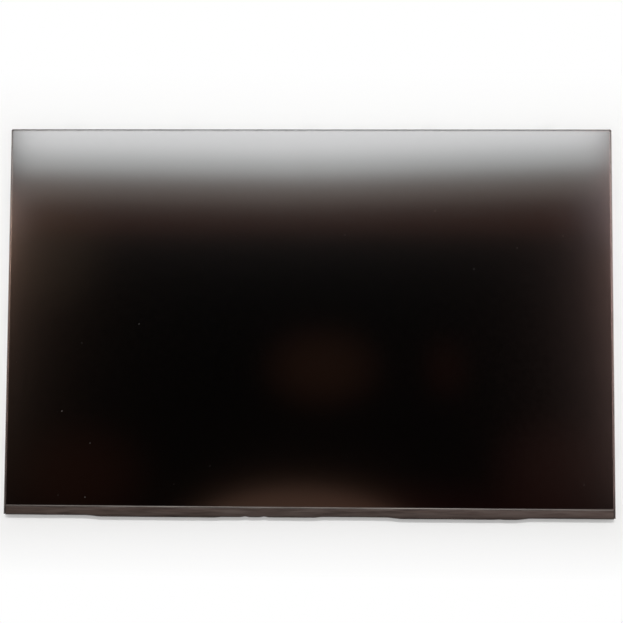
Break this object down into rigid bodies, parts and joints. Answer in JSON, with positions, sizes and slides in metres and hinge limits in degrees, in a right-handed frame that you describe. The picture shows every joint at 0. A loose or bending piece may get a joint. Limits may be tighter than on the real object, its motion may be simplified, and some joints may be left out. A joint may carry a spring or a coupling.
{
  "type": "laptop screen panel",
  "caption": "Bare laptop display module: a matt liquid crystal screen in a thin moulded frame over a shallow metal back cover, with a taped bottom edge and a control board behind.",
  "frame": {"origin": "middle of the panel's outline, level with the lowest point of the display socket", "axes": "+X along the long side, +Y towards the top of the picture, +Z out of the screen"},
  "size_m": [0.35, 0.225, 0.0043],
  "materials": {
    "antiglare_polarizer": "matt anti-glare hard coat",
    "dark_polarizer": "smooth film",
    "cell_glass": "thin etched sheet glass over dark cell",
    "sealing_resin": "cured clear resin",
    "black_adhesive": "double-sided tape",
    "frame_resin": "moulded, fine grain",
    "prism_film": "clear optical film",
    "diffuser_sheet": "translucent film",
    "guide_acrylic": "polished clear sheet",
    "white_reflector": "white film",
    "cover_sheet_metal": "brushed and anodised sheet",
    "white_flex": "white coverlay",
    "led_package": "moulded white with phosphor",
    "solder_mask": "green solder mask",
    "driver_film": "amber polyimide with fine lines",
    "driver_silicon": "bare die",
    "cover_tape_film": "thin brown-black wrapping tape",
    "ground_foil": "woven conductive tape",
    "socket_resin": "moulded liquid crystal polymer",
    "socket_shell": "tin plated sheet",
    "contact_metal": "gold plated",
    "chip_epoxy": "moulded epoxy",
    "inductor_ferrite": "pressed ferrite",
    "capacitor_ceramic": "fired ceramic with tinned ends",
    "resistor_body": "glazed ceramic with tinned ends"
  },
  "bodies": {
    "root": {"front_polarizer": "antiglare_polarizer", "colour_filter_glass": "cell_glass", "array_glass": "cell_glass", "rear_polarizer": "dark_polarizer", "ledge_resin": "sealing_resin", "cell_tape": "black_adhesive", "mould_frame": "frame_resin", "upper_prism_film": "prism_film", "lower_prism_film": "prism_film", "diffuser_film": "diffuser_sheet", "light_guide": "guide_acrylic", "reflector_film": "white_reflector", "light_bar_tape": "black_adhesive", "light_bar_flex": "white_flex", "light_bar_leds": "led_package", "back_cover": "cover_sheet_metal", "board_tape": "black_adhesive", "control_board": "solder_mask", "source_film_left": "driver_film", "source_film_right": "driver_film", "source_driver_left": "driver_silicon", "source_driver_right": "driver_silicon", "cover_tape": "cover_tape_film", "ground_foil_left": "ground_foil", "ground_foil_right": "ground_foil", "display_socket_housing": "socket_resin", "display_socket_shell": "socket_shell", "display_socket_contacts": "contact_metal", "backlight_socket_housing": "socket_resin", "backlight_socket_pins": "contact_metal", "timing_controller": "chip_epoxy", "power_controller": "chip_epoxy", "backlight_driver": "chip_epoxy", "flash_memory": "chip_epoxy", "power_inductors": "inductor_ferrite", "rectifier_diodes": "chip_epoxy", "chip_capacitors": "capacitor_ceramic", "chip_resistors": "resistor_body"}
  },
  "joints": []
}
